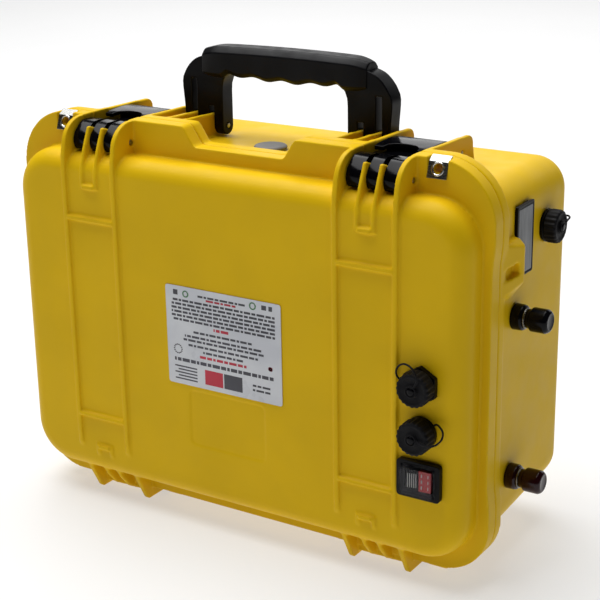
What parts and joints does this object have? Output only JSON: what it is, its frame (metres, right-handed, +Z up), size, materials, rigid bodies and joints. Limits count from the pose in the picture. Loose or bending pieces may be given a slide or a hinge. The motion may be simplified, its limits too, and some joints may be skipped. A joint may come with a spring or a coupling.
{
  "type": "portable battery box",
  "caption": "Upright yellow waterproof case with folding handle, two latches, capped sockets, rocker switch, meter and screw terminals.",
  "frame": {"origin": "middle of the assembly's footprint, on the plane of its feet", "axes": "+X to the right seen from the lid, +Y from the lid to the base's back, +Z up to the handle"},
  "size_m": [0.4298, 0.1903, 0.358],
  "materials": {
    "yellow_shell": "fine moulded satin",
    "black_plastic": "satin",
    "black_gloss": "polished",
    "black_rubber": "matt",
    "stainless": "brushed",
    "brass": "plain",
    "dark_red": "polished",
    "rocker_red": "polished",
    "clear_cover": "clear",
    "meter_glass": "tinted",
    "grey_plastic": "satin",
    "label": "laminated",
    "cell_foil": "satin",
    "foam": "open cell",
    "board": "solder mask",
    "heat_sink": "anodised",
    "copper": "plain"
  },
  "bodies": {
    "base": {"base_shell": "yellow_shell", "board_heat_sink": "heat_sink", "cell_module_1": "cell_foil", "cell_module_2": "cell_foil", "cell_module_3": "cell_foil", "cell_module_4": "cell_foil", "foam_cradle": "foam", "hinge_pin_left": "stainless", "hinge_pin_right": "stainless", "meter_case": "black_plastic", "meter_window": "meter_glass", "negative_bus_bar": "copper", "negative_collar": "black_gloss", "negative_stud": "brass", "positive_bus_bar": "copper", "positive_collar": "dark_red", "positive_stud": "brass", "protection_board": "board", "purge_valve": "grey_plastic", "side_cap_tether": "black_rubber", "side_socket": "black_plastic", "side_socket_nut": "black_plastic", "upper_pin_left": "stainless", "upper_pin_right": "stainless"},
    "lid": {"catch_pin_left": "stainless", "catch_pin_right": "stainless", "charge_cap_tether": "black_rubber", "charge_socket": "black_plastic", "charge_socket_nut": "black_plastic", "lid_gasket": "black_rubber", "lid_shell": "yellow_shell", "output_cap_tether": "black_rubber", "output_socket": "black_plastic", "output_socket_nut": "black_plastic", "padlock_plate_left": "stainless", "padlock_plate_right": "stainless", "rating_label": "label", "switch_body": "black_plastic", "switch_cover": "clear_cover"},
    "latch_lever_left": {"latch_lever_left": "black_gloss", "claw_pin_left": "stainless"},
    "latch_claw_left": {"latch_claw_left": "black_gloss"},
    "latch_lever_right": {"latch_lever_right": "black_gloss", "claw_pin_right": "stainless"},
    "latch_claw_right": {"latch_claw_right": "black_gloss"},
    "handle": {"handle_frame": "black_plastic", "handle_grip": "black_rubber"},
    "rocker": {"rocker": "rocker_red"},
    "charge_cap_rivet": {"charge_cap_rivet": "black_plastic"},
    "charge_cap": {"charge_cap": "black_rubber"},
    "output_cap_rivet": {"output_cap_rivet": "black_plastic"},
    "output_cap": {"output_cap": "black_rubber"},
    "side_cap_rivet": {"side_cap_rivet": "black_plastic"},
    "side_cap": {"side_cap": "black_rubber"},
    "negative_washer": {"negative_washer": "stainless"},
    "negative_knob": {"negative_knob": "black_gloss"},
    "positive_washer": {"positive_washer": "stainless"},
    "positive_knob": {"positive_knob": "dark_red"}
  },
  "joints": [
    {"name": "lid_open", "type": "hinge", "parent": "base", "child": "lid", "pos_m": [-0.00894, -0.0378, 0.008], "axis": [1, 0, 0], "range_deg": [0, 100]},
    {"name": "latch_left", "type": "hinge", "parent": "base", "child": "latch_lever_left", "pos_m": [-0.12794, 0.0142, 0.2955], "axis": [-1, 0, 0], "range_deg": [0, 110]},
    {"name": "claw_left", "type": "hinge", "parent": "latch_lever_left", "child": "latch_claw_left", "pos_m": [-0.12794, -0.0058, 0.299], "axis": [1, 0, 0], "range_deg": [0, 40]},
    {"name": "latch_right", "type": "hinge", "parent": "base", "child": "latch_lever_right", "pos_m": [0.11006, 0.0142, 0.2955], "axis": [-1, 0, 0], "range_deg": [0, 110]},
    {"name": "claw_right", "type": "hinge", "parent": "latch_lever_right", "child": "latch_claw_right", "pos_m": [0.11006, -0.0058, 0.299], "axis": [1, 0, 0], "range_deg": [0, 40]},
    {"name": "handle_fold", "type": "hinge", "parent": "base", "child": "handle", "pos_m": [-0.00894, 0.0142, 0.2955], "axis": [-1, 0, 0], "range_deg": [0, 86]},
    {"name": "rocker_tilt", "type": "hinge", "parent": "lid", "child": "rocker", "pos_m": [0.15386, -0.0777, 0.088], "axis": [0, 0, -1], "range_deg": [0, 15]},
    {"name": "charge_cap_travel", "type": "slide", "parent": "lid", "child": "charge_cap_rivet", "axis": [0, -1, 0], "range_m": [0, 0.01], "deforming": ["charge_cap_tether"]},
    {"name": "charge_cap_turn", "type": "hinge", "parent": "charge_cap_rivet", "child": "charge_cap", "pos_m": [0.15366, -0.0826, 0.1576], "axis": [0, -1, 0], "range_deg": [0, 1440]},
    {"name": "output_cap_travel", "type": "slide", "parent": "lid", "child": "output_cap_rivet", "axis": [0, -1, 0], "range_m": [0, 0.01], "deforming": ["output_cap_tether"]},
    {"name": "output_cap_turn", "type": "hinge", "parent": "output_cap_rivet", "child": "output_cap", "pos_m": [0.15396, -0.0826, 0.1225], "axis": [0, -1, 0], "range_deg": [0, 1440]},
    {"name": "side_cap_travel", "type": "slide", "parent": "base", "child": "side_cap_rivet", "axis": [1, 0, 0], "range_m": [0, 0.01], "deforming": ["side_cap_tether"]},
    {"name": "side_cap_turn", "type": "hinge", "parent": "side_cap_rivet", "child": "side_cap", "pos_m": [0.18937, 0.0462, 0.243], "axis": [1, 0, 0], "range_deg": [0, 1440]},
    {"name": "negative_knob_travel", "type": "slide", "parent": "base", "child": "negative_washer", "axis": [1, 0, 0], "range_m": [0, 0.002]},
    {"name": "negative_knob_turn", "type": "hinge", "parent": "negative_washer", "child": "negative_knob", "pos_m": [0.19809, -0.0063, 0.1906], "axis": [1, 0, 0], "range_deg": [0, 720]},
    {"name": "positive_knob_travel", "type": "slide", "parent": "base", "child": "positive_washer", "axis": [1, 0, 0], "range_m": [0, 0.002]},
    {"name": "positive_knob_turn", "type": "hinge", "parent": "positive_washer", "child": "positive_knob", "pos_m": [0.19814, -0.0082, 0.0703], "axis": [1, 0, 0], "range_deg": [0, 720]}
  ],
  "couplings": [
    {"joint": "claw_left", "follows": "latch_left", "ratio": 0.35},
    {"joint": "claw_right", "follows": "latch_right", "ratio": 0.35},
    {"joint": "charge_cap_turn", "follows": "charge_cap_travel", "rad_per_m": 2513.3},
    {"joint": "output_cap_turn", "follows": "output_cap_travel", "rad_per_m": 2513.3},
    {"joint": "side_cap_turn", "follows": "side_cap_travel", "rad_per_m": 2513.3},
    {"joint": "negative_knob_turn", "follows": "negative_knob_travel", "rad_per_m": 6283.2},
    {"joint": "positive_knob_turn", "follows": "positive_knob_travel", "rad_per_m": 6283.2}
  ]
}
